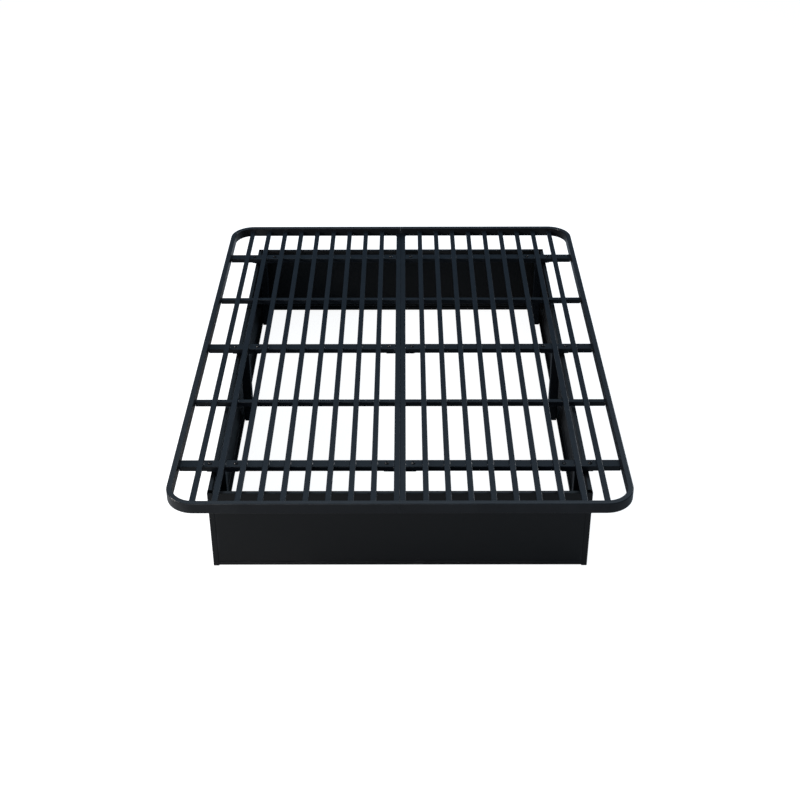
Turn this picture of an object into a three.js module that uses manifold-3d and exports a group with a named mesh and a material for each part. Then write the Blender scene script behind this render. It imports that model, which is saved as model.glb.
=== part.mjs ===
// Platform bed frame of powder-coated steel: a round-cornered slatted deck, made as two
// halves that meet on a lengthwise seam, standing on an inset base of folded sheet panels.
//
// Millimetres, +Z up, +X across the bed, +Y along it. The origin is on the floor, at the
// middle of the bed. The two halves are mirror images: "left" is -X and "front" is -Y.

import * as THREE from "three";
import { mergeVertices } from "three/addons/utils/BufferGeometryUtils.js";
import Module from "manifold-3d";

// ---- overall sizes ----
const DECK_WIDTH = 1570;
const DECK_LENGTH = 2090;
const DECK_HEIGHT = 373; // floor to the top of the rim

// ---- fits ----
const WELD_GAP = 0.3; // between two pieces that are welded or bolted face to face
const SEAM_GAP = 0.8; // between the two halves of the deck
const PLUG_CLEARANCE = 0.4; // between a foot plug and the tube it is pushed into

// ---- deck ----
const RIM_THICKNESS = 20;
const RIM_HEIGHT = 40;
const RIM_WALL = 1.2;
const RIM_CORNER_RADIUS = 100;
const RIM_EDGE_RADIUS = 3;

const SLAT_WIDTH = 20;
const SLAT_HEIGHT = 10;
const SLAT_WALL = 0.8;
const SLAT_RECESS = 15; // slat tops below the top of the rim
const SLATS_PER_HALF = 9;
const INNER_SLAT_OFFSET = 88; // centre of the innermost slat from the seam
const OUTER_SLAT_OFFSET = 73; // centre of the outermost slat from the inside of the rim

const CENTRE_RAIL_WIDTH = 20;

const WIDE_CROSSBAR = 40;
const NARROW_CROSSBAR = 20;
const CROSSBAR_HEIGHT = 20; // the centre rails are as tall
const CROSSBAR_WALL = 1.2; // and have the same wall
const CROSSBAR_COUNT = 5; // wide and narrow ones alternate, starting with a wide one
const END_CROSSBAR_OFFSET = 260; // centre of the first and last crossbars from the deck's end
const TUBE_EDGE_RADIUS = 2;

// ---- plates under the deck ----
const PLATE_THICKNESS = 3;
const JOINING_PLATE_LENGTH = 114; // across the seam
const LEG_PLATE_LENGTH = 112;
const PLATE_SIDE_MARGIN = 2; // a plate is narrower than its crossbar by this on each side

// ---- base ----
const BASE_INSET = 128; // from the outside of the rim to the outside of a panel
const POST_SIZE = 20;
const POST_WALL = 1.2;
const PANEL_DROP = 6.4; // upper edges of the panels and posts below the leg plates
const PANEL_DEPTH = 15; // depth of the folded returns
const PANEL_SHEET = 0.8;
const PANEL_LIP = 14; // height of the lip that ends each return
const PANEL_BEAD_HEIGHT = 14; // pressed line above the lower edge
const PANEL_BEAD_WIDTH = 1.2;
const PANEL_BEAD_DEPTH = 0.4;

const LEG_SIZE = 35;
const LEG_WALL = 1.5;
const LEG_PLATE_OUTER_REACH = 15; // plate past the outside of the side panel

const FOOT_FLANGE = 3;
const FOOT_PLUG_HEIGHT = 14;

// ---- round edges ----
const CORNER_SEGMENTS = 16; // per quarter turn of the rim
const EDGE_SEGMENTS = 2; // per quarter turn of a small tube's edge

// ---- heights that follow from the sizes above ----
const rimTop = DECK_HEIGHT;
const rimBottom = rimTop - RIM_HEIGHT;
const slatTop = rimTop - SLAT_RECESS;
const slatBottom = slatTop - SLAT_HEIGHT;
const crossbarTop = slatBottom - WELD_GAP;
const crossbarBottom = crossbarTop - CROSSBAR_HEIGHT;
const crossbarZ = (crossbarTop + crossbarBottom) / 2;
const plateTop = crossbarBottom - WELD_GAP;
const plateBottom = plateTop - PLATE_THICKNESS;
const baseTop = plateBottom - PANEL_DROP;
const baseBottom = FOOT_FLANGE + WELD_GAP;

const halfWidth = DECK_WIDTH / 2;
const halfLength = DECK_LENGTH / 2;
const baseHalfWidth = halfWidth - BASE_INSET;
const baseHalfLength = halfLength - BASE_INSET;
const innerHalfLength = halfLength - RIM_THICKNESS;
const innerHalfWidth = halfWidth - RIM_THICKNESS;

// ---- materials ----
const steel = (colour, roughness) =>
  new THREE.MeshStandardMaterial({ color: colour, roughness, metalness: 0.35 });
const rimCoat = steel(0x23262d, 0.42);
const slatCoat = steel(0x242b35, 0.45);
const railCoat = steel(0x1b1f27, 0.5);
const panelCoat = steel(0x1e1e21, 0.5);
const footPlastic = new THREE.MeshStandardMaterial({ color: 0x101113, roughness: 0.65, metalness: 0 });

// ---- solids: joins and cuts ----
const wasm = await Module();
wasm.setup();

function toSolid(geometry, x = 0, y = 0, z = 0) {
  const plain = geometry.clone();
  plain.deleteAttribute("normal");
  plain.deleteAttribute("uv");
  plain.translate(x, y, z);
  const merged = mergeVertices(plain, 1e-4);
  const mesh = new wasm.Mesh({
    numProp: 3,
    vertProperties: new Float32Array(merged.attributes.position.array),
    triVerts: new Uint32Array(merged.index.array),
  });
  return new wasm.Manifold(mesh);
}

function toGeometry(solid) {
  const mesh = solid.getMesh();
  const geometry = new THREE.BufferGeometry();
  geometry.setAttribute("position", new THREE.BufferAttribute(mesh.vertProperties, 3));
  geometry.setIndex(new THREE.BufferAttribute(mesh.triVerts, 1));
  geometry.computeVertexNormals();
  return geometry;
}

function boxSolid(sizeX, sizeY, sizeZ, x, y, z) {
  return toSolid(new THREE.BoxGeometry(sizeX, sizeY, sizeZ), x, y, z);
}

// ---- outlines ----
function roundedRectangle(width, height, radius, into = new THREE.Shape()) {
  const x = width / 2 - radius;
  const y = height / 2 - radius;
  into.moveTo(-x, -y - radius);
  into.absarc(x, -y, radius, -Math.PI / 2, 0);
  into.absarc(x, y, radius, 0, Math.PI / 2);
  into.absarc(-x, y, radius, Math.PI / 2, Math.PI);
  into.absarc(-x, -y, radius, Math.PI, 1.5 * Math.PI);
  into.closePath();
  return into;
}

function rectangle(width, height, into = new THREE.Path()) {
  into.moveTo(-width / 2, -height / 2);
  into.lineTo(width / 2, -height / 2);
  into.lineTo(width / 2, height / 2);
  into.lineTo(-width / 2, height / 2);
  into.closePath();
  return into;
}

// An open-ended rectangular tube along Z, from z = 0, with rounded outer edges.
function tubeGeometry(width, height, wall, length) {
  const section = roundedRectangle(width, height, TUBE_EDGE_RADIUS);
  section.holes.push(rectangle(width - 2 * wall, height - 2 * wall));
  return new THREE.ExtrudeGeometry(section, {
    depth: length,
    bevelEnabled: false,
    curveSegments: EDGE_SEGMENTS,
  });
}

// A tube that lies along the bed, centred on the origin and as long as the deck.
function barAlongBed(width, height, wall) {
  const bar = tubeGeometry(width, height, wall, DECK_LENGTH);
  bar.rotateX(Math.PI / 2);
  bar.translate(0, DECK_LENGTH / 2, 0);
  return bar;
}

// A flat ring that follows the rim, between two distances in from the outside of the deck.
function rimRing(fromOutside, toInside, height, edgeRadius) {
  const outer = roundedRectangle(
    DECK_WIDTH - 2 * fromOutside,
    DECK_LENGTH - 2 * fromOutside,
    RIM_CORNER_RADIUS - fromOutside,
  );
  outer.holes.push(
    roundedRectangle(
      DECK_WIDTH - 2 * toInside,
      DECK_LENGTH - 2 * toInside,
      RIM_CORNER_RADIUS - toInside,
      new THREE.Path(),
    ),
  );
  const rounded = edgeRadius > 0;
  const geometry = new THREE.ExtrudeGeometry(outer, {
    depth: height - 2 * edgeRadius,
    curveSegments: CORNER_SEGMENTS,
    bevelEnabled: rounded,
    bevelThickness: edgeRadius,
    bevelSize: edgeRadius,
    bevelOffset: -edgeRadius,
    bevelSegments: EDGE_SEGMENTS,
  });
  return toSolid(geometry, 0, 0, edgeRadius);
}

// The space inside the rim, less a weld gap all round. Bars that reach the rim end on it.
const insideRim = toSolid(
  new THREE.ExtrudeGeometry(
    roundedRectangle(
      2 * (innerHalfWidth - WELD_GAP),
      2 * (innerHalfLength - WELD_GAP),
      RIM_CORNER_RADIUS - RIM_THICKNESS - WELD_GAP,
    ),
    { depth: DECK_HEIGHT, curveSegments: CORNER_SEGMENTS, bevelEnabled: false },
  ),
);

// Cuts a bar that will stand at (x, y, z) to end on the inside of the rim.
function cutToRim(geometry, x, y, z) {
  return toGeometry(toSolid(geometry).intersect(insideRim.translate([-x, -y, -z])));
}

// ---- the bed ----
const bed = new THREE.Group();

function add(name, geometry, material, x = 0, y = 0, z = 0) {
  const mesh = new THREE.Mesh(geometry, material);
  mesh.name = name;
  mesh.position.set(x, y, z);
  bed.add(mesh);
  return mesh;
}

const SIDES = [
  { side: "left", sign: -1 },
  { side: "right", sign: 1 },
];
const ENDS = [
  { end: "front", sign: -1 },
  { end: "rear", sign: 1 },
];

// Rims: one hollow ring around the deck, cut on the seam, so each half's tube is open there.
const ring = rimRing(0, RIM_THICKNESS, RIM_HEIGHT, RIM_EDGE_RADIUS);
const ringHollow = rimRing(RIM_WALL, RIM_THICKNESS - RIM_WALL, RIM_HEIGHT - 2 * RIM_WALL, 0);
const rimTube = ring.subtract(ringHollow.translate([0, 0, RIM_WALL]));
for (const { side, sign } of SIDES) {
  const keepWidth = DECK_WIDTH;
  const keepX = sign * (keepWidth / 2 + SEAM_GAP / 2);
  const keep = boxSolid(keepWidth, DECK_LENGTH + RIM_HEIGHT, 2 * RIM_HEIGHT, keepX, 0, RIM_HEIGHT / 2);
  add(`rim_${side}`, toGeometry(rimTube.intersect(keep)), rimCoat, 0, 0, rimBottom);
}

// Centre rails: one bar of each half along the seam, level with the crossbars.
const railX = SEAM_GAP / 2 + CENTRE_RAIL_WIDTH / 2;
for (const { side, sign } of SIDES) {
  const rail = barAlongBed(CENTRE_RAIL_WIDTH, CROSSBAR_HEIGHT, CROSSBAR_WALL);
  const x = sign * railX;
  add(`centre_rail_${side}`, cutToRim(rail, x, 0, crossbarZ), railCoat, x, 0, crossbarZ);
}

// Slats: flat tubes along the bed, numbered outwards from the seam.
const slatPitch = (innerHalfWidth - OUTER_SLAT_OFFSET - INNER_SLAT_OFFSET) / (SLATS_PER_HALF - 1);
const slatZ = slatBottom + SLAT_HEIGHT / 2;
for (const { side, sign } of SIDES) {
  for (let i = 0; i < SLATS_PER_HALF; i += 1) {
    const slat = barAlongBed(SLAT_WIDTH, SLAT_HEIGHT, SLAT_WALL);
    const x = sign * (INNER_SLAT_OFFSET + i * slatPitch);
    add(`slat_${side}_${i + 1}`, cutToRim(slat, x, 0, slatZ), slatCoat, x, 0, slatZ);
  }
}

// Crossbars: under the slats, from the centre rail to the rim, numbered from the front.
const crossbarInner = SEAM_GAP / 2 + CENTRE_RAIL_WIDTH + WELD_GAP;
const crossbarPitch = (DECK_LENGTH - 2 * END_CROSSBAR_OFFSET) / (CROSSBAR_COUNT - 1);
const crossbarY = (i) => (i - (CROSSBAR_COUNT - 1) / 2) * crossbarPitch;
const isWide = (i) => i % 2 === 0;
for (const { side, sign } of SIDES) {
  for (let i = 0; i < CROSSBAR_COUNT; i += 1) {
    const width = isWide(i) ? WIDE_CROSSBAR : NARROW_CROSSBAR;
    const bar = tubeGeometry(CROSSBAR_HEIGHT, width, CROSSBAR_WALL, halfWidth);
    bar.rotateY((sign * Math.PI) / 2);
    const x = sign * crossbarInner;
    const y = crossbarY(i);
    add(`crossbar_${side}_${i + 1}`, cutToRim(bar, x, y, crossbarZ), railCoat, x, y, crossbarZ);
  }
}

// The places along the bed where a wide crossbar crosses, with plates and legs under it.
const SUPPORTS = [];
for (let i = 0; i < CROSSBAR_COUNT; i += 1) {
  if (isWide(i)) SUPPORTS.push({ number: SUPPORTS.length + 1, y: crossbarY(i) });
}
const plateWidth = WIDE_CROSSBAR - 2 * PLATE_SIDE_MARGIN;

// Joining plates: flat bars across the seam that tie the two halves together.
for (const { number, y } of SUPPORTS) {
  const plate = new THREE.BoxGeometry(JOINING_PLATE_LENGTH, plateWidth, PLATE_THICKNESS);
  add(`joining_plate_${number}`, plate, railCoat, 0, y, (plateTop + plateBottom) / 2);
}

// Corner posts of the base, each with a foot plug.
const postX = baseHalfWidth - POST_SIZE / 2;
const postY = baseHalfLength - POST_SIZE / 2;
const postHeight = baseTop - baseBottom;

// A plastic foot: a flange as wide as the tube, with a plug that goes up into it.
function footGeometry(tubeSize, wall) {
  const flange = boxSolid(tubeSize, tubeSize, FOOT_FLANGE, 0, 0, FOOT_FLANGE / 2);
  const plugSize = tubeSize - 2 * wall - 2 * PLUG_CLEARANCE;
  const plug = boxSolid(plugSize, plugSize, FOOT_PLUG_HEIGHT, 0, 0, FOOT_PLUG_HEIGHT / 2 + FOOT_FLANGE / 2);
  return toGeometry(flange.add(plug));
}

for (const { side, sign: sx } of SIDES) {
  for (const { end, sign: sy } of ENDS) {
    const post = tubeGeometry(POST_SIZE, POST_SIZE, POST_WALL, postHeight);
    add(`corner_post_${end}_${side}`, post, panelCoat, sx * postX, sy * postY, baseBottom);
    const foot = footGeometry(POST_SIZE, POST_WALL);
    add(`post_foot_${end}_${side}`, foot, footPlastic, sx * postX, sy * postY, 0);
  }
}

// Panels: sheet with its four edges folded back and lipped, and a pressed line near the
// lower edge. The face of the panel looks along -Y before the panel is turned into place.
function panelGeometry(length) {
  const pocketDepth = PANEL_DEPTH - 2 * PANEL_SHEET;
  let panel = boxSolid(length, PANEL_DEPTH, postHeight, 0, PANEL_DEPTH / 2, 0);
  const pocket = boxSolid(
    length - 2 * PANEL_SHEET,
    pocketDepth,
    postHeight - 2 * PANEL_SHEET,
    0,
    PANEL_DEPTH / 2,
    0,
  );
  const mouth = boxSolid(
    length - 2 * PANEL_LIP,
    PANEL_DEPTH,
    postHeight - 2 * PANEL_LIP,
    0,
    PANEL_DEPTH,
    0,
  );
  const beadZ = -postHeight / 2 + PANEL_BEAD_HEIGHT;
  const bead = boxSolid(length + PANEL_DEPTH, 2 * PANEL_BEAD_DEPTH, PANEL_BEAD_WIDTH, 0, 0, beadZ);
  panel = panel.subtract(pocket).subtract(mouth).subtract(bead);
  return toGeometry(panel);
}

const panelZ = (baseTop + baseBottom) / 2;
const endPanelLength = 2 * (baseHalfWidth - POST_SIZE - WELD_GAP);
const sidePanelLength = 2 * (baseHalfLength - POST_SIZE - WELD_GAP);
for (const { end, sign } of ENDS) {
  const geometry = panelGeometry(endPanelLength);
  const panel = add(`panel_${end}`, geometry, panelCoat, 0, sign * baseHalfLength, panelZ);
  panel.rotation.z = sign < 0 ? 0 : Math.PI;
}
for (const { side, sign } of SIDES) {
  const geometry = panelGeometry(sidePanelLength);
  const panel = add(`panel_${side}`, geometry, panelCoat, sign * baseHalfWidth, 0, panelZ);
  panel.rotation.z = (sign * Math.PI) / 2;
}

// Legs: square tubes against the backs of the side panels, each welded to its top plate.
// The plate reaches out over the panel's upper edge, and the wide crossbar is screwed to it.
const legX = baseHalfWidth - PANEL_DEPTH - WELD_GAP - LEG_SIZE / 2;
const legHeight = plateBottom - baseBottom;
const legPlateX = baseHalfWidth + LEG_PLATE_OUTER_REACH - LEG_PLATE_LENGTH / 2 - legX;
for (const { side, sign } of SIDES) {
  for (const { number, y } of SUPPORTS) {
    const tube = toSolid(tubeGeometry(LEG_SIZE, LEG_SIZE, LEG_WALL, legHeight));
    const plateZ = legHeight + PLATE_THICKNESS / 2;
    const plate = boxSolid(LEG_PLATE_LENGTH, plateWidth, PLATE_THICKNESS, sign * legPlateX, 0, plateZ);
    add(`leg_${side}_${number}`, toGeometry(tube.add(plate)), railCoat, sign * legX, y, baseBottom);
    const foot = footGeometry(LEG_SIZE, LEG_WALL);
    add(`leg_foot_${side}_${number}`, foot, footPlastic, sign * legX, y, 0);
  }
}

export default bed;
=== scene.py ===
"""A black powder-coated platform bed frame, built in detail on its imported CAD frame.

Every bar, panel, plate and foot of the CAD model is replaced by a finer mesh made to that
node's own box: rounded tubes with real walls, folded sheet panels and moulded plastic feet.
Weld beads and bolts, which the CAD model leaves out, are added. Units are metres; the frame
is the CAD model's, with +Z up and -Y at the foot.
"""

import math
from random import Random

import bmesh
import bpy
from mathutils import Matrix, Vector


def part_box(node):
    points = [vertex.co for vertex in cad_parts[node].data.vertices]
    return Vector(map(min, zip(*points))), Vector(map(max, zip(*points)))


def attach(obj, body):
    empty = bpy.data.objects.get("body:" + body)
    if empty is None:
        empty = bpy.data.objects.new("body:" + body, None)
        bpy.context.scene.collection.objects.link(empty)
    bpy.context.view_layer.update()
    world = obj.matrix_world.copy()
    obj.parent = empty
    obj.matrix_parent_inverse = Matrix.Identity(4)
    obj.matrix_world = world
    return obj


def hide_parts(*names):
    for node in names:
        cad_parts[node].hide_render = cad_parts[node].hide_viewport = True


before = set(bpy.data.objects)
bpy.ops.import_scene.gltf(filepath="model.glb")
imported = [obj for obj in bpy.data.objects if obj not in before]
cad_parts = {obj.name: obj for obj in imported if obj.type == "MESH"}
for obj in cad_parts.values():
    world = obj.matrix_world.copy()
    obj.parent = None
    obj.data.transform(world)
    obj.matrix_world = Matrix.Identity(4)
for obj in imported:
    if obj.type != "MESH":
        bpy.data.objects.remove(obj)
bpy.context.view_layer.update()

MM = 0.001
SIDES = {"left": -1, "right": 1}
ENDS = {"front": -1, "rear": 1}
X_AXIS = Vector((1, 0, 0))
Y_AXIS = Vector((0, 1, 0))
Z_AXIS = Vector((0, 0, 1))

# ---- sizes of the fine detail, which the CAD boxes don't hold ----
RIM_CORNER_RADIUS = 100 * MM
RIM_WALL = 1.2 * MM
RIM_EDGE_RADIUS = 3 * MM
TUBE_WALL = 1.2 * MM
TUBE_EDGE_RADIUS = 2.2 * MM
SLAT_WALL = 0.8 * MM
SLAT_EDGE_RADIUS = 2 * MM
LEG_WALL = 1.5 * MM
LEG_EDGE_RADIUS = 3 * MM
PLATE_CORNER_RADIUS = 4 * MM
PLATE_EDGE = 0.5 * MM
CUT_EASE = 0.45 * MM
END_RINGS = (4 * MM, 8 * MM)  # rings of points this far from each cut keep the wear at the cut
WELD_GAP = 0.3 * MM  # the CAD keeps two welded pieces this far apart
SEAM_HALF = 0.04 * MM  # the bolts pull the two halves together

SHEET = 0.8 * MM
FOLD_RADIUS = 1.4 * MM
FOLD_CLEARANCE = 0.2 * MM
LIP_HEIGHT = 14 * MM
BEAD_HEIGHT = 16 * MM
BEAD_WIDTH = 5.5 * MM
BEAD_DEPTH = 3.6 * MM

FOOT_FLANGE = 3 * MM
FOOT_SHOULDER = 2.4 * MM  # how far the stem is set in from the flange

BOLT_RADIUS = 4 * MM
BOLT_HEAD_RADIUS = 1.65 * BOLT_RADIUS
BOLT_INSET = 11 * MM  # from the end of the plate below
BOLT_REACH = 9 * MM  # from the top of the nut to the bolt's tip
WASHER_RADIUS = 2.05 * BOLT_RADIUS
NUT_ACROSS_FLATS = 13 * MM
NUT_THICKNESS = 6.5 * MM
NUT_CHAMFER = 0.6 * MM

# ---- weld beads: the reach of each up its two walls, and its longest run ----
SLAT_ON_BAR_WELD, SLAT_ON_BAR_RUN = 2.6 * MM, 22 * MM
SLAT_END_WELD, SLAT_END_RUN = 2.6 * MM, 17 * MM
SLAT_SIDE_WELD, SLAT_SIDE_RUN = 2.2 * MM, 7 * MM
BAR_UNDER_WELD = 2.6 * MM
BAR_SIDE_WELD, BAR_SIDE_RUN = 3 * MM, 15 * MM
LEG_WELD, LEG_RUN = 3.4 * MM, 28 * MM
WELD_RIPPLE = 2.4 * MM
WELD_STEP = 1.1 * MM

# ---- how finely round shapes are divided ----
EDGE_SEGMENTS = 5
RIM_CORNER_SEGMENTS = 20
FOLD_SEGMENTS = 4
BEAD_SEGMENTS = 10
ROUND_POINTS = 24


# ---------------------------------------------------------------------------------------
# Mesh helpers
# ---------------------------------------------------------------------------------------


def loft(bm, rings, closed=False):
    """Joins rings of equally many points into a skin. A closed loft joins last to first."""
    rows = [[bm.verts.new(p) for p in ring] for ring in rings]
    count = len(rings[0])
    pairs = list(zip(rows, rows[1:]))
    if closed:
        pairs.append((rows[-1], rows[0]))
    for a, b in pairs:
        for i in range(count):
            j = (i + 1) % count
            bm.faces.new((a[i], a[j], b[j], b[i]))
    if not closed:
        bm.faces.new(list(reversed(rows[0])))
        bm.faces.new(rows[-1])


def rounded_rectangle(width, height, radius):
    """Points of a rounded rectangle about the origin, anticlockwise."""
    points = []
    corners = ((1, -1, -90), (1, 1, 0), (-1, 1, 90), (-1, -1, 180))
    for sx, sy, start in corners:
        cx = sx * (width / 2 - radius)
        cy = sy * (height / 2 - radius)
        for k in range(EDGE_SEGMENTS + 1):
            angle = math.radians(start + 90 * k / EDGE_SEGMENTS)
            points.append((cx + radius * math.cos(angle), cy + radius * math.sin(angle)))
    return points


def circle(radius):
    angles = [2 * math.pi * k / ROUND_POINTS for k in range(ROUND_POINTS)]
    return [(radius * math.cos(angle), radius * math.sin(angle)) for angle in angles]


def hexagon(across_flats):
    """A hexagon with as many points as a circle, so that the two can be lofted together."""
    points = []
    for k in range(ROUND_POINTS):
        angle = 2 * math.pi * k / ROUND_POINTS
        local = (angle + math.pi / 6) % (math.pi / 3) - math.pi / 6
        radius = across_flats / 2 / math.cos(local)
        points.append((radius * math.cos(angle), radius * math.sin(angle)))
    return points


def place(points, origin, right, up):
    """Puts flat points into space, on the plane through origin along right and up."""
    return [origin + right * u + up * v for u, v in points]


def finish_piece(name, bm, material, replaces=(), sharp_angle=40):
    """Turns a bmesh into a smooth-shaded piece that rides on the bed."""
    bmesh.ops.recalc_face_normals(bm, faces=bm.faces)
    mesh = bpy.data.meshes.new(name)
    bm.to_mesh(mesh)
    bm.free()
    for polygon in mesh.polygons:
        polygon.use_smooth = True
    mesh.set_sharp_from_angle(angle=math.radians(sharp_angle))
    piece = bpy.data.objects.new(name, mesh)
    bpy.context.scene.collection.objects.link(piece)
    mesh.materials.append(material)
    normals = piece.modifiers.new("weighted_normals", "WEIGHTED_NORMAL")
    normals.keep_sharp = True
    normals.weight = 80
    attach(piece, "root")
    if replaces:
        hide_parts(*replaces)


def centre_of(node):
    low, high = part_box(node)
    return (Vector(low) + Vector(high)) / 2


def size_of(node):
    low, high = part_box(node)
    return Vector(high) - Vector(low)


# ---------------------------------------------------------------------------------------
# Materials
# ---------------------------------------------------------------------------------------


def node_tree(name):
    material = bpy.data.materials.new(name)
    material.use_nodes = True
    tree = material.node_tree
    shader = tree.nodes["Principled BSDF"]
    return material, tree, shader


def add_noise(tree, scale, detail, roughness=0.55, stretch=(1, 1, 1)):
    """Noise over the object's own coordinates; the scale is in waves to the metre."""
    coordinates = tree.nodes.new("ShaderNodeTexCoord")
    mapping = tree.nodes.new("ShaderNodeMapping")
    mapping.inputs["Scale"].default_value = stretch
    noise = tree.nodes.new("ShaderNodeTexNoise")
    noise.inputs["Scale"].default_value = scale
    noise.inputs["Detail"].default_value = detail
    noise.inputs["Roughness"].default_value = roughness
    tree.links.new(coordinates.outputs["Object"], mapping.inputs["Vector"])
    tree.links.new(mapping.outputs["Vector"], noise.inputs["Vector"])
    return noise.outputs["Fac"]


def add_range(tree, value, source, target=(0, 1)):
    """Maps values between the two source numbers to those between the two target numbers."""
    node = tree.nodes.new("ShaderNodeMapRange")
    node.inputs["From Min"].default_value = source[0]
    node.inputs["From Max"].default_value = source[1]
    node.inputs["To Min"].default_value = target[0]
    node.inputs["To Max"].default_value = target[1]
    tree.links.new(value, node.inputs["Value"])
    return node.outputs["Result"]


def add_math(tree, operation, a, b):
    node = tree.nodes.new("ShaderNodeMath")
    node.operation = operation
    for socket, value in zip(node.inputs, (a, b)):
        if isinstance(value, (int, float)):
            socket.default_value = value
        else:
            tree.links.new(value, socket)
    return node.outputs["Value"]


def add_mix(tree, factor, a, b):
    node = tree.nodes.new("ShaderNodeMix")
    node.data_type = "RGBA"
    tree.links.new(factor, node.inputs["Factor"])
    for socket, value in (("A", a), ("B", b)):
        target = next(s for s in node.inputs if s.name == socket and s.type == "RGBA")
        if isinstance(value, tuple):
            target.default_value = (*value, 1)
        else:
            tree.links.new(value, target)
    return next(s for s in node.outputs if s.type == "RGBA")


def add_bump(tree, height, strength, distance, normal=None):
    node = tree.nodes.new("ShaderNodeBump")
    node.inputs["Strength"].default_value = strength
    node.inputs["Distance"].default_value = distance
    tree.links.new(height, node.inputs["Height"])
    if normal is not None:
        tree.links.new(normal, node.inputs["Normal"])
    return node.outputs["Normal"]


def edge_mask(tree, pointiness):
    """1 along convex edges, broken up as handling breaks it up. Flat faces come out 0."""
    geometry = tree.nodes.new("ShaderNodeNewGeometry")
    edge = add_range(tree, geometry.outputs["Pointiness"], pointiness)
    patches = add_range(tree, add_noise(tree, 14, 4), (0.42, 0.66))
    return add_math(tree, "MULTIPLY", edge, patches)


def upward_mask(tree):
    """1 on faces that look up, where fine dust settles."""
    geometry = tree.nodes.new("ShaderNodeNewGeometry")
    split = tree.nodes.new("ShaderNodeSeparateXYZ")
    tree.links.new(geometry.outputs["Normal"], split.inputs["Vector"])
    return add_range(tree, split.outputs["Z"], (0.7, 1.0))


MID_NOISE = (0.3, 0.7)  # nearly all of a noise texture's values lie between these
COAT_POINTINESS = (0.513, 0.532)
STEEL_POINTINESS = (0.53, 0.60)
DUST = 0.3
SMEAR = 0.006
DUST_DULLS = 0.10
WEAR_POLISHES = 0.10


def powder_coat(name, dark, light, worn, roughness, gloss_level):
    """Semi-matt powder coat: fine speckle, orange peel, a little dust and rubbed edges."""
    material, tree, shader = node_tree(name)
    clouds = add_range(tree, add_noise(tree, 1.1, 1), MID_NOISE, (0, 0.15))
    speckle = add_range(tree, add_noise(tree, 900, 2), (0.35, 0.65), (0, 0.65))
    colour = add_mix(tree, add_math(tree, "ADD", clouds, speckle), dark, light)
    edges = edge_mask(tree, COAT_POINTINESS)
    colour = add_mix(tree, edges, colour, worn)
    drifts = add_range(tree, add_noise(tree, 22, 6, 0.7), (0.45, 0.8), (0, DUST))
    film = add_math(tree, "MULTIPLY", upward_mask(tree), drifts)
    dusty = tuple(min(1, 1.5 * c + 0.008) for c in light)
    colour = add_mix(tree, film, colour, dusty)
    tree.links.new(colour, shader.inputs["Base Color"])

    smears = add_noise(tree, 34, 5, 0.65, (1, 0.3, 1))
    smears = add_range(tree, smears, MID_NOISE, (roughness - SMEAR, roughness + SMEAR))
    gloss = add_math(tree, "ADD", smears, add_range(tree, film, (0, 1), (0, DUST_DULLS)))
    polish = add_range(tree, edges, (0, 1), (0, WEAR_POLISHES))
    gloss = add_math(tree, "SUBTRACT", gloss, polish)
    tree.links.new(gloss, shader.inputs["Roughness"])

    peel = add_bump(tree, add_noise(tree, 260, 1.5), 0.22, 0.25 * MM)
    grain = add_bump(tree, add_noise(tree, 1500, 2), 0.18, 0.08 * MM, peel)
    tree.links.new(grain, shader.inputs["Normal"])
    shader.inputs["Metallic"].default_value = 0.0
    shader.inputs["Specular IOR Level"].default_value = gloss_level
    return material


def moulded_plastic(name):
    """Black polypropylene with a fine spark-eroded grain."""
    material, tree, shader = node_tree(name)
    mottle = add_range(tree, add_noise(tree, 60, 3), MID_NOISE)
    colour = add_mix(tree, mottle, (0.006, 0.006, 0.007), (0.012, 0.012, 0.013))
    gloss = add_range(tree, add_noise(tree, 120, 2), MID_NOISE, (0.5, 0.66))
    grain = add_bump(tree, add_noise(tree, 2600, 2), 0.3, 0.06 * MM)
    tree.links.new(colour, shader.inputs["Base Color"])
    tree.links.new(gloss, shader.inputs["Roughness"])
    tree.links.new(grain, shader.inputs["Normal"])
    shader.inputs["Specular IOR Level"].default_value = 0.35
    return material


def black_oxide(name):
    """Blackened steel of the bolts: blotchy, and rubbed bright on the edges; the bright edges are
    partly real wear and partly a painted glint.
    """
    material, tree, shader = node_tree(name)
    blotch = add_range(tree, add_noise(tree, 180, 4), (0.35, 0.7))
    colour = add_mix(tree, blotch, (0.010, 0.010, 0.012), (0.026, 0.025, 0.026))
    edges = edge_mask(tree, STEEL_POINTINESS)
    # Edges lighter: partly real rubbed wear, partly a painted glint on the bolt heads.
    colour = add_mix(tree, edges, colour, (0.30, 0.29, 0.28))
    gloss = add_range(tree, add_noise(tree, 400, 3), MID_NOISE, (0.18, 0.30))
    grain = add_bump(tree, add_noise(tree, 900, 2, 0.5, (1, 1, 0.1)), 0.15, 0.06 * MM)
    tree.links.new(colour, shader.inputs["Base Color"])
    tree.links.new(gloss, shader.inputs["Roughness"])
    tree.links.new(grain, shader.inputs["Normal"])
    shader.inputs["Metallic"].default_value = 0.85
    return material


RIM_COAT = powder_coat(
    "rim_powder_coat",
    dark=(0.0062, 0.0066, 0.0080),
    light=(0.0080, 0.0086, 0.0104),
    worn=(0.024, 0.025, 0.028),
    roughness=0.32,
    gloss_level=0.36,
)
# The same black coat as the rim's, tinted blue: the blue is a painted reflection of the sky that
# the slats' top faces show.
SLAT_COAT_SKY_TINTED = powder_coat(
    "slat_powder_coat_painted_sky_tint",
    dark=(0.0040, 0.0058, 0.0088),
    light=(0.0056, 0.0080, 0.0120),
    worn=(0.016, 0.020, 0.027),
    roughness=0.34,
    gloss_level=0.24,
)
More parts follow.
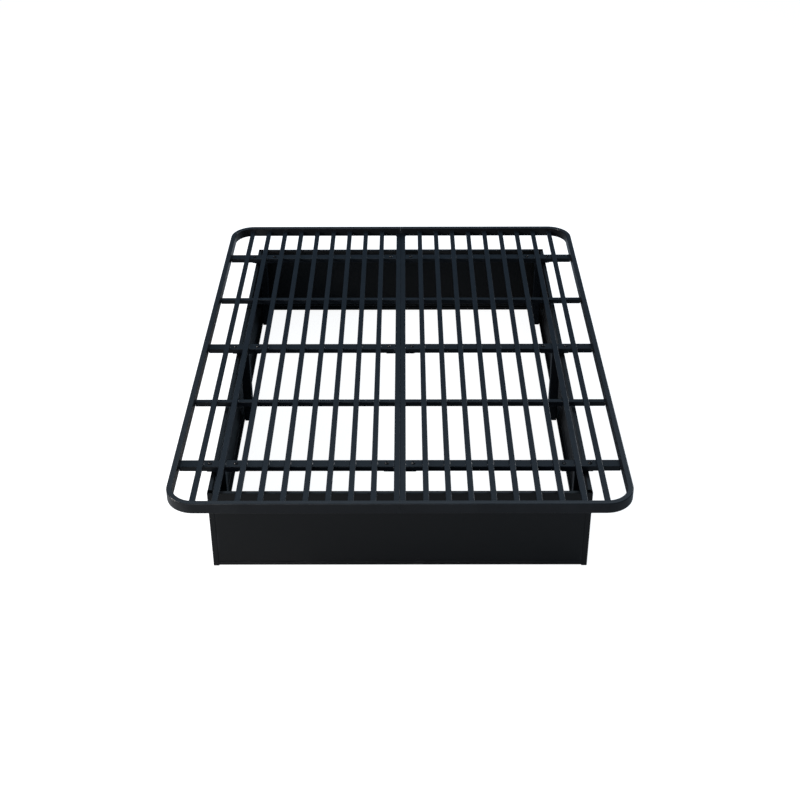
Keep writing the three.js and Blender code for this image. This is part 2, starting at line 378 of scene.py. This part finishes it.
# The same black coat, tinted blue for the rails, crossbars, plates, legs and their welds: the blue
# is a painted reflection of the sky on their top faces.
RAIL_COAT_SKY_TINTED = powder_coat(
    "rail_powder_coat_painted_sky_tint",
    dark=(0.0038, 0.0054, 0.0080),
    light=(0.0052, 0.0073, 0.0106),
    worn=(0.016, 0.019, 0.025),
    roughness=0.36,
    gloss_level=0.24,
)
PANEL_COAT = powder_coat(
    "panel_powder_coat",
    dark=(0.0070, 0.0072, 0.0076),
    light=(0.0086, 0.0088, 0.0094),
    worn=(0.020, 0.020, 0.021),
    roughness=0.40,
    gloss_level=0.30,
)
FOOT_PLASTIC = moulded_plastic("foot_plastic_black")
BOLT_STEEL = black_oxide("bolt_black_oxide")


# ---------------------------------------------------------------------------------------
# The CAD nodes and what their boxes tell
# ---------------------------------------------------------------------------------------


def nodes_starting(*starts):
    return sorted(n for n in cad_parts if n.startswith(starts))


SLATS = nodes_starting("slat_")
CROSSBARS = nodes_starting("crossbar_")
JOINING_PLATES = nodes_starting("joining_plate_")
FEET = nodes_starting("post_foot_", "leg_foot_")
LEGS = nodes_starting("leg_left_", "leg_right_")

NARROW_LIMIT = 30 * MM  # crossbars wider than this are bolted to a plate below
WIDE_CROSSBARS = [n for n in CROSSBARS if size_of(n).y > NARROW_LIMIT]

DECK_HALF_WIDTH, DECK_HALF_LENGTH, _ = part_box("rim_right")[1]
RAIL_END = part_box("centre_rail_left")[1][1]
SLAT_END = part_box("slat_left_1")[1][1]
RIM_THICKNESS = DECK_HALF_LENGTH - RAIL_END - WELD_GAP
PLATE_THICKNESS = size_of("joining_plate_1").z
LEG_SIZE = size_of("leg_foot_left_1").x


def inside_end(x):
    """How far along the bed a bar at x reaches before it meets the inside of the rim."""
    clearance = DECK_HALF_LENGTH - SLAT_END
    radius = RIM_CORNER_RADIUS - clearance
    corner_x = DECK_HALF_WIDTH - RIM_CORNER_RADIUS
    past = max(0.0, abs(x) - corner_x)
    return DECK_HALF_LENGTH - RIM_CORNER_RADIUS + math.sqrt(radius * radius - past * past)


# ---------------------------------------------------------------------------------------
# Tubes
# ---------------------------------------------------------------------------------------


def tube(bm, stations, width, height, wall, edge_radius):
    """A hollow tube, open at its ends. stations are (origin, right, up) frames along it.

    The outer edges of its two cuts are eased, as a deburring tool leaves them.
    """
    eased_width, eased_height = width - 2 * CUT_EASE, height - 2 * CUT_EASE
    outer = rounded_rectangle(width, height, edge_radius)
    cut = rounded_rectangle(eased_width, eased_height, edge_radius - CUT_EASE)
    inner = rounded_rectangle(width - 2 * wall, height - 2 * wall, edge_radius - wall)
    first, last = stations[0], stations[-1]
    inward_first = (stations[1][0] - first[0]).normalized()
    inward_last = (stations[-2][0] - last[0]).normalized()
    depths = (CUT_EASE, *END_RINGS)
    rings = [place(cut, *first)]
    rings += [place(outer, first[0] + inward_first * depth, *first[1:]) for depth in depths]
    rings += [place(outer, *station) for station in stations[1:-1]]
    rings += [place(outer, last[0] + inward_last * depth, *last[1:]) for depth in reversed(depths)]
    rings += [place(cut, *last)]
    rings += [place(inner, *station) for station in reversed(stations)]
    loft(bm, rings, closed=True)


def rim_stations(sign):
    """The bent path of one half's rim, from the seam at the foot to the seam at the head."""
    middle = RIM_THICKNESS / 2
    radius = RIM_CORNER_RADIUS - middle
    centre_x = DECK_HALF_WIDTH - RIM_CORNER_RADIUS
    centre_y = DECK_HALF_LENGTH - RIM_CORNER_RADIUS
    path = [(SEAM_HALF, -DECK_HALF_LENGTH + middle, -90)]
    for start, cy in ((-90, -centre_y), (0, centre_y)):
        for k in range(RIM_CORNER_SEGMENTS + 1):
            angle = start + 90 * k / RIM_CORNER_SEGMENTS
            x = centre_x + radius * math.cos(math.radians(angle))
            y = cy + radius * math.sin(math.radians(angle))
            path.append((x, y, angle))
    path.append((SEAM_HALF, DECK_HALF_LENGTH - middle, 90))
    z = centre_of("rim_left").z
    stations = []
    for x, y, degrees in path:
        angle = math.radians(degrees)
        outward = Vector((sign * math.cos(angle), math.sin(angle), 0))
        stations.append((Vector((sign * x, y, z)), outward, Z_AXIS))
    return stations


def build_rims():
    for side, sign in SIDES.items():
        node = f"rim_{side}"
        bm = bmesh.new()
        tube(bm, rim_stations(sign), RIM_THICKNESS, size_of(node).z, RIM_WALL, RIM_EDGE_RADIUS)
        finish_piece(f"{node}_tube", bm, RIM_COAT, [node])


def tube_in_box(node, along, wall, edge_radius):
    """A straight tube that fills a CAD node's box and runs along one axis."""
    centre, size = centre_of(node), size_of(node)
    right, up = (axis for axis in (X_AXIS, Y_AXIS, Z_AXIS) if axis is not along)
    half = along * size.dot(along) / 2
    ends = [(centre - half, right, up), (centre + half, right, up)]
    bm = bmesh.new()
    tube(bm, ends, size.dot(right), size.dot(up), wall, edge_radius)
    return bm


def build_slats():
    """Slats with their ends cut to the inside of the rim, round its corners too."""
    for node in SLATS:
        bm = tube_in_box(node, Y_AXIS, SLAT_WALL, SLAT_EDGE_RADIUS)
        half_length = size_of(node).y / 2
        for vert in bm.verts:
            from_end = half_length - abs(vert.co.y)
            end = min(half_length, inside_end(vert.co.x))
            vert.co.y = math.copysign(end - from_end, vert.co.y)
        finish_piece(f"{node}_tube", bm, SLAT_COAT_SKY_TINTED, [node])


def build_centre_rails():
    """The two rails at the seam, widened until they all but touch."""
    for side, sign in SIDES.items():
        node = f"centre_rail_{side}"
        low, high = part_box(node)
        far = max(abs(low[0]), abs(high[0]))
        middle = Vector((sign * (far + SEAM_HALF) / 2, 0, (low[2] + high[2]) / 2))
        ends = [(middle + Y_AXIS * y, X_AXIS, Z_AXIS) for y in (low[1], high[1])]
        bm = bmesh.new()
        tube(bm, ends, far - SEAM_HALF, high[2] - low[2], TUBE_WALL, TUBE_EDGE_RADIUS)
        finish_piece(f"{node}_tube", bm, RAIL_COAT_SKY_TINTED, [node])


def build_crossbars():
    for node in CROSSBARS:
        bm = tube_in_box(node, X_AXIS, TUBE_WALL, TUBE_EDGE_RADIUS)
        finish_piece(f"{node}_tube", bm, RAIL_COAT_SKY_TINTED, [node])


def build_corner_posts():
    for side in SIDES:
        for end in ENDS:
            node = f"corner_post_{end}_{side}"
            bm = tube_in_box(node, Z_AXIS, TUBE_WALL, TUBE_EDGE_RADIUS)
            finish_piece(f"{node}_tube", bm, PANEL_COAT, [node])


# ---------------------------------------------------------------------------------------
# Plates, legs and feet
# ---------------------------------------------------------------------------------------


def slab(bm, low, high, corner_radius, bevel):
    """A flat plate with round corners and eased edges, standing between two heights."""
    centre = Vector(((low[0] + high[0]) / 2, (low[1] + high[1]) / 2, 0))
    width, depth = high[0] - low[0], high[1] - low[1]
    levels = ((low[2], bevel), (low[2] + bevel, 0), (high[2] - bevel, 0), (high[2], bevel))
    rings = []
    for z, inset in levels:
        outline = rounded_rectangle(width - 2 * inset, depth - 2 * inset, corner_radius - inset)
        rings.append(place(outline, centre + Z_AXIS * z, X_AXIS, Y_AXIS))
    loft(bm, rings)


def build_joining_plates():
    for node in JOINING_PLATES:
        bm = bmesh.new()
        slab(bm, *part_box(node), PLATE_CORNER_RADIUS, PLATE_EDGE)
        finish_piece(f"{node}_bar", bm, RAIL_COAT_SKY_TINTED, [node])


def build_legs():
    """Square legs, each with the plate on its top that is bolted to a crossbar."""
    for node in LEGS:
        low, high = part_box(node)
        foot = centre_of(node.replace("leg_", "leg_foot_"))
        under_plate = high[2] - PLATE_THICKNESS
        ends = [(Vector((foot.x, foot.y, z)), X_AXIS, Y_AXIS) for z in (low[2], under_plate)]
        bm = bmesh.new()
        tube(bm, ends, LEG_SIZE, LEG_SIZE, LEG_WALL, LEG_EDGE_RADIUS)
        slab(bm, (low[0], low[1], under_plate), high, PLATE_CORNER_RADIUS, PLATE_EDGE)
        finish_piece(f"{node}_weldment", bm, RAIL_COAT_SKY_TINTED, [node])


def build_feet():
    """Plastic plugs: a flange under the tube and a stem up inside it."""
    for node in FEET:
        low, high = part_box(node)
        stem_foot = low[2] + FOOT_FLANGE
        stem_low = (low[0] + FOOT_SHOULDER, low[1] + FOOT_SHOULDER, stem_foot)
        stem_high = (high[0] - FOOT_SHOULDER, high[1] - FOOT_SHOULDER, high[2])
        bm = bmesh.new()
        slab(bm, low, (high[0], high[1], stem_foot), corner_radius=2.2 * MM, bevel=0.7 * MM)
        slab(bm, stem_low, stem_high, corner_radius=1.2 * MM, bevel=0.4 * MM)
        finish_piece(f"{node}_plug", bm, FOOT_PLASTIC, [node])


# ---------------------------------------------------------------------------------------
# Folded panels
# ---------------------------------------------------------------------------------------


def filleted(points, radius):
    """An open polyline with its inner corners rounded."""
    path = [Vector(points[0])]
    for before, corner, after in zip(points, points[1:], points[2:]):
        before, corner, after = Vector(before), Vector(corner), Vector(after)
        back = (before - corner).normalized()
        on = (after - corner).normalized()
        start, end = corner + back * radius, corner + on * radius
        centre = start + end - corner
        for k in range(FOLD_SEGMENTS + 1):
            angle = math.pi / 2 * k / FOLD_SEGMENTS
            from_start = (start - centre) * math.cos(angle)
            path.append(centre + from_start + (end - centre) * math.sin(angle))
    path.append(Vector(points[-1]))
    return path


def sheet_sides(path):
    """The two sides of a sheet whose middle line is an open flat path."""
    left, right = [], []
    for i, point in enumerate(path):
        before = path[max(i - 1, 0)]
        after = path[min(i + 1, len(path) - 1)]
        along = (after - before).normalized()
        normal = Vector((-along.y, along.x))
        left.append(point + normal * SHEET / 2)
        right.append(point - normal * SHEET / 2)
    return left, right


def sheet_run(bm, path, start, end, right, up):
    """Extrudes a sheet's cross-section, given as its middle line, from start to end."""
    left_side, right_side = sheet_sides(path)
    outline = left_side + list(reversed(right_side))
    inward = (end - start).normalized()
    origins = [start] + [start + inward * depth for depth in END_RINGS]
    origins += [end - inward * depth for depth in reversed(END_RINGS)] + [end]
    rows = []
    for origin in origins:
        rows.append([bm.verts.new(origin + right * p.x + up * p.y) for p in outline])
    count = len(outline)
    for row, following in zip(rows, rows[1:]):
        for i in range(count):
            j = (i + 1) % count
            bm.faces.new((row[i], row[j], following[j], following[i]))
    half = len(left_side)
    for row in (rows[0], rows[-1]):
        for i in range(half - 1):
            bm.faces.new((row[i], row[i + 1], row[count - 2 - i], row[count - 1 - i]))


def face_with_bead(depth, height):
    """Middle line of a panel's upright section: lip, return, face with its bead, return, lip."""
    face = SHEET / 2
    lip = depth - face
    lower = [(lip, LIP_HEIGHT), (lip, face), (face, face), (face, BEAD_HEIGHT - BEAD_WIDTH)]
    bead = []
    for k in range(BEAD_SEGMENTS + 1):
        t = k / BEAD_SEGMENTS
        rise = BEAD_DEPTH * (1 - math.cos(2 * math.pi * t)) / 2
        bead.append(Vector((face + rise, BEAD_HEIGHT - BEAD_WIDTH / 2 + BEAD_WIDTH * t)))
    flat_start = Vector((face, BEAD_HEIGHT + BEAD_WIDTH))
    top, lip_end = height - face, height - LIP_HEIGHT
    upper = [(face, lip_end), (face, top), (lip, top), (lip, lip_end)]
    return filleted(lower, FOLD_RADIUS) + bead + [flat_start] + filleted(upper, FOLD_RADIUS)


def build_panel(node, along, inward):
    """A sheet panel with four folded edges. along runs with its length, inward from its face."""
    centre, size = centre_of(node), size_of(node)
    depth = min(size.x, size.y)
    length = max(size.x, size.y)
    face_foot = centre - inward * depth / 2 - Z_AXIS * size.z / 2
    start = face_foot - along * length / 2
    end = face_foot + along * length / 2
    bm = bmesh.new()
    sheet_run(bm, face_with_bead(depth, size.z), start, end, inward, Z_AXIS)

    face = SHEET / 2
    clear = SHEET + FOLD_CLEARANCE
    back = depth - face - clear
    fold = filleted([(face, clear), (face, back), (LIP_HEIGHT, back)], FOLD_RADIUS)
    for corner, direction in ((start, along), (end, -along)):
        low = corner + Z_AXIS * clear
        high = corner + Z_AXIS * (size.z - clear)
        sheet_run(bm, fold, low, high, direction, inward)
    finish_piece(f"{node}_sheet", bm, PANEL_COAT, [node])


def build_panels():
    for end, sign in ENDS.items():
        build_panel(f"panel_{end}", X_AXIS, -Y_AXIS * sign)
    for side, sign in SIDES.items():
        build_panel(f"panel_{side}", Y_AXIS, -X_AXIS * sign)


# ---------------------------------------------------------------------------------------
# Weld beads
# ---------------------------------------------------------------------------------------

DECK_WELD_SEED = 10
LEG_WELD_SEED = 31
WELD_SHARP_ANGLE = 75
WELD_SECTION = ((0.0, 1.0), (0.42, 0.66), (0.66, 0.42), (1.0, 0.0), (-0.12, -0.12))


def weld_bead(bm, rng, middle, along, wall_a, wall_b, length, leg):
    """A rippled fillet in the corner between two walls, whose outward directions are given."""
    steps = max(6, round(length / WELD_STEP))
    phase = rng.uniform(0, 2 * math.pi)
    rings = []
    for k in range(steps + 1):
        t = k / steps
        taper = math.sqrt(max(0.0, 1 - (2 * t - 1) ** 4))
        wave = math.sin(phase + t * length / WELD_RIPPLE * 2 * math.pi)
        ripple = 1 + 0.10 * wave + rng.uniform(-0.04, 0.04)
        reach = leg * max(0.12, taper) * ripple
        origin = middle + along * (t - 0.5) * length
        rings.append([origin + wall_a * a * reach + wall_b * b * reach for a, b in WELD_SECTION])
    loft(bm, rings)


def build_slat_welds(side, rng):
    """Beads on both sides of a slat at each crossbar, and round its two ends at the rim."""
    bm = bmesh.new()
    for slat in (n for n in SLATS if f"_{side}_" in n):
        low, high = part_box(slat)
        x = (low[0] + high[0]) / 2
        z = (low[2] + high[2]) / 2
        edges = ((low[0], -X_AXIS), (high[0], X_AXIS))
        for bar in (n for n in CROSSBARS if f"_{side}_" in n):
            bar_low, bar_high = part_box(bar)
            y = (bar_low[1] + bar_high[1]) / 2
            run = min(SLAT_ON_BAR_RUN, 0.7 * (bar_high[1] - bar_low[1]))
            for edge, out in edges:
                corner = Vector((edge, y + rng.uniform(-1, 1) * MM, bar_high[2]))
                weld_bead(bm, rng, corner, Y_AXIS, out, Z_AXIS, run, SLAT_ON_BAR_WELD)
        for end in ENDS.values():
            off_rim = -Y_AXIS * end
            corner = Vector((x, end * (inside_end(x) + WELD_GAP), low[2]))
            weld_bead(bm, rng, corner, X_AXIS, off_rim, -Z_AXIS, SLAT_END_RUN, SLAT_END_WELD)
            for edge, out in edges:
                corner = Vector((edge, end * (inside_end(edge) + WELD_GAP), z))
                weld_bead(bm, rng, corner, Z_AXIS, off_rim, out, SLAT_SIDE_RUN, SLAT_SIDE_WELD)
    name = f"slat_welds_{side}"
    finish_piece(name, bm, SLAT_COAT_SKY_TINTED, sharp_angle=WELD_SHARP_ANGLE)


def build_crossbar_welds(side, sign, rng):
    """Beads under and on both sides of a crossbar's ends, and outside the centre rail's ends."""
    bm = bmesh.new()
    for bar in (n for n in CROSSBARS if f"_{side}_" in n):
        low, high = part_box(bar)
        y = (low[1] + high[1]) / 2
        z = (low[2] + high[2]) / 2
        run = 0.75 * (high[1] - low[1])
        for edge_x, into_bar in ((low[0], X_AXIS), (high[0], -X_AXIS)):
            corner = Vector((edge_x, y, low[2]))
            weld_bead(bm, rng, corner, Y_AXIS, into_bar, -Z_AXIS, run, BAR_UNDER_WELD)
            for edge_y, out in ((low[1], -Y_AXIS), (high[1], Y_AXIS)):
                corner = Vector((edge_x, edge_y, z))
                weld_bead(bm, rng, corner, Z_AXIS, into_bar, out, BAR_SIDE_RUN, BAR_SIDE_WELD)
    low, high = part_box(f"centre_rail_{side}")
    outer = high[0] if sign > 0 else low[0]
    for end in ENDS.values():
        off_rim, out = -Y_AXIS * end, X_AXIS * sign
        corner = Vector((outer, end * (high[1] + WELD_GAP), (low[2] + high[2]) / 2))
        weld_bead(bm, rng, corner, Z_AXIS, off_rim, out, BAR_SIDE_RUN, BAR_SIDE_WELD)
    name = f"crossbar_welds_{side}"
    finish_piece(name, bm, RAIL_COAT_SKY_TINTED, sharp_angle=WELD_SHARP_ANGLE)


def build_deck_welds():
    for side, sign in SIDES.items():
        rng = Random(DECK_WELD_SEED + sign)
        build_slat_welds(side, rng)
        build_crossbar_welds(side, sign, rng)


def build_leg_welds():
    rng = Random(LEG_WELD_SEED)
    bm = bmesh.new()
    for node in LEGS:
        foot = centre_of(node.replace("leg_", "leg_foot_"))
        under_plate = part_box(node)[1][2] - PLATE_THICKNESS
        for out in (X_AXIS, -X_AXIS):
            corner = Vector((foot.x, foot.y, under_plate)) + out * LEG_SIZE / 2
            weld_bead(bm, rng, corner, Y_AXIS, out, -Z_AXIS, LEG_RUN, LEG_WELD)
    finish_piece("leg_plate_welds", bm, RAIL_COAT_SKY_TINTED, sharp_angle=WELD_SHARP_ANGLE)


# ---------------------------------------------------------------------------------------
# Bolts
# ---------------------------------------------------------------------------------------


def button_bolt(bm, head_seat, tip):
    """A button-head socket bolt, with a washer, from its tip up over its head."""
    tip_z = tip.z - head_seat.z
    shank = [
        (tip_z, circle(0.80 * BOLT_RADIUS)),
        (tip_z + 0.25 * BOLT_RADIUS, circle(BOLT_RADIUS)),
        (0.0, circle(BOLT_RADIUS)),
    ]
    washer = [
        (0.02 * MM, circle(0.97 * WASHER_RADIUS)),
        (0.3 * MM, circle(WASHER_RADIUS)),
        (1.1 * MM, circle(WASHER_RADIUS)),
        (1.4 * MM, circle(0.97 * WASHER_RADIUS)),
    ]
    head = [
        (1.42 * MM, circle(0.98 * BOLT_HEAD_RADIUS)),
        (1.7 * MM, circle(BOLT_HEAD_RADIUS)),
        (2.9 * MM, circle(0.93 * BOLT_HEAD_RADIUS)),
        (4.1 * MM, circle(0.76 * BOLT_HEAD_RADIUS)),
        (4.8 * MM, circle(0.60 * BOLT_HEAD_RADIUS)),
    ]
    socket = [
        (4.95 * MM, hexagon(5.2 * MM)),
        (2.6 * MM, hexagon(5.0 * MM)),
    ]
    profile = shank + washer + head + socket
    loft(bm, [place(outline, head_seat + Z_AXIS * z, X_AXIS, Y_AXIS) for z, outline in profile])


def hex_nut(bm, top):
    """A nut hanging under a plate, with chamfered corners."""
    face = circle(0.46 * NUT_ACROSS_FLATS)
    body = hexagon(NUT_ACROSS_FLATS)
    levels = [
        (0.0, face),
        (-NUT_CHAMFER, body),
        (-NUT_THICKNESS + NUT_CHAMFER, body),
        (-NUT_THICKNESS, face),
    ]
    loft(bm, [place(outline, top + Z_AXIS * z, X_AXIS, Y_AXIS) for z, outline in levels])


def build_bolts():
    """Two bolts over each leg plate and one each side of the seam over each joining plate."""
    for side, sign in SIDES.items():
        bm = bmesh.new()
        bars = [n for n in WIDE_CROSSBARS if f"_{side}_" in n]
        for number, bar in enumerate(bars, start=1):
            seat_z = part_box(bar)[1][2]
            y = centre_of(bar).y
            leg_low, leg_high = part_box(f"leg_{side}_{number}")
            join_low, join_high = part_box(f"joining_plate_{number}")
            join_x = (join_high[0] if sign > 0 else join_low[0]) - sign * BOLT_INSET
            places = [
                (leg_low[0] + BOLT_INSET, leg_high[2]),
                (leg_high[0] - BOLT_INSET, leg_high[2]),
                (join_x, join_high[2]),
            ]
            for x, plate_top in places:
                nut_top = plate_top - PLATE_THICKNESS
                tip = Vector((x, y, nut_top - BOLT_REACH))
                button_bolt(bm, Vector((x, y, seat_z)), tip)
                hex_nut(bm, Vector((x, y, nut_top)))
        finish_piece(f"deck_bolts_{side}", bm, BOLT_STEEL, sharp_angle=35)


# ---------------------------------------------------------------------------------------
# Stage, light and camera
# ---------------------------------------------------------------------------------------

FLOOR_SIZE = 60
FLOOR_DROP = 0.3 * MM  # keeps the floor just clear of the feet
FLOOR_GLOW = 0.92
SKY_STRENGTH = 0.26


def build_stage():
    """A grey floor that glows to the camera only: it looks white but throws little light up."""
    bpy.ops.mesh.primitive_plane_add(size=FLOOR_SIZE, location=(0, 0, -FLOOR_DROP))
    floor = bpy.context.object
    floor.name = "studio_floor"
    material, tree, shader = node_tree("pale_studio_floor")
    tone = add_range(tree, add_noise(tree, 0.7, 2), MID_NOISE)
    colour = add_mix(tree, tone, (0.46, 0.46, 0.46), (0.50, 0.50, 0.50))
    tree.links.new(colour, shader.inputs["Base Color"])
    shader.inputs["Roughness"].default_value = 0.9
    shader.inputs["Specular IOR Level"].default_value = 0.1
    shader.inputs["Emission Color"].default_value = (1, 1, 1, 1)
    seen = tree.nodes.new("ShaderNodeLightPath")
    glow = add_math(tree, "MULTIPLY", seen.outputs["Is Camera Ray"], FLOOR_GLOW)
    tree.links.new(glow, shader.inputs["Emission Strength"])
    floor.data.materials.append(material)


def build_sky():
    """A dim blue sky to light the bed, which the camera itself sees as plain white."""
    world = bpy.data.worlds.new("studio_sky")
    world.use_nodes = True
    tree = world.node_tree
    background = tree.nodes["Background"]
    seen = tree.nodes.new("ShaderNodeLightPath")
    colour = add_mix(tree, seen.outputs["Is Camera Ray"], (0.48, 0.73, 1.0), (1.0, 1.0, 1.0))
    tree.links.new(colour, background.inputs["Color"])
    strength = add_range(tree, seen.outputs["Is Camera Ray"], (0, 1), (SKY_STRENGTH, 1.0))
    tree.links.new(strength, background.inputs["Strength"])
    bpy.context.scene.world = world


def softbox(name, stands, aim, size, watts, colour):
    """A rectangular lamp that stands at one point and faces another."""
    light = bpy.data.lights.new(name, "AREA")
    light.shape = "RECTANGLE"
    light.size, light.size_y = size
    light.energy = watts
    light.color = colour
    lamp = bpy.data.objects.new(name, light)
    lamp.location = stands
    lamp.rotation_euler = (Vector(aim) - Vector(stands)).to_track_quat("-Z", "Y").to_euler()
    bpy.context.scene.collection.objects.link(lamp)


def build_lights():
    softbox(
        "softbox_overhead",
        stands=(0.2, 1.8, 3.8),
        aim=(0, 0.3, 0.3),
        size=(4.0, 3.0),
        watts=40,
        colour=(0.70, 0.85, 1.0),
    )
    softbox(
        "softbox_left",
        stands=(-3.6, -1.2, 1.9),
        aim=(0, -0.6, 0.3),
        size=(1.0, 1.1),
        watts=118,
        colour=(1.0, 0.95, 0.90),
    )
    softbox(
        "softbox_front",
        stands=(-1.2, -5.2, 1.6),
        aim=(0, -1.0, 0.2),
        size=(3.0, 1.6),
        watts=50,
        colour=(0.97, 0.985, 1.0),
    )
    softbox(
        "softbox_rear",
        stands=(3.6, 2.8, 1.5),
        aim=(0.3, 0.6, 0.2),
        size=(1.8, 1.2),
        watts=60,
        colour=(0.92, 0.96, 1.0),
    )


CAMERA_PLACE = (0.018, -4.420, 3.021)
CAMERA_PITCH = 30.00
CAMERA_TURN = 0.250
CAMERA_ROLL = -0.219
CAMERA_LENS = 58.05
CAMERA_SHIFT = -0.10


def build_camera():
    data = bpy.data.cameras.new("camera")
    data.sensor_width = 36
    data.lens = CAMERA_LENS
    data.shift_y = CAMERA_SHIFT
    data.clip_end = 100
    camera = bpy.data.objects.new("camera", data)
    turn = Matrix.Rotation(math.radians(CAMERA_TURN), 4, "Z")
    tilt = Matrix.Rotation(math.radians(90 - CAMERA_PITCH), 4, "X")
    roll = Matrix.Rotation(math.radians(CAMERA_ROLL), 4, "Z")
    camera.matrix_world = Matrix.Translation(CAMERA_PLACE) @ turn @ tilt @ roll
    bpy.context.scene.collection.objects.link(camera)
    bpy.context.scene.camera = camera


# ---------------------------------------------------------------------------------------

build_camera()
build_stage()
build_sky()
build_lights()
build_rims()
build_slats()
build_centre_rails()
build_crossbars()
build_corner_posts()
build_joining_plates()
build_legs()
build_feet()
build_panels()
build_deck_welds()
build_leg_welds()
build_bolts()

bpy.context.scene.view_settings.view_transform = "Standard"
bpy.context.scene.view_settings.look = "None"
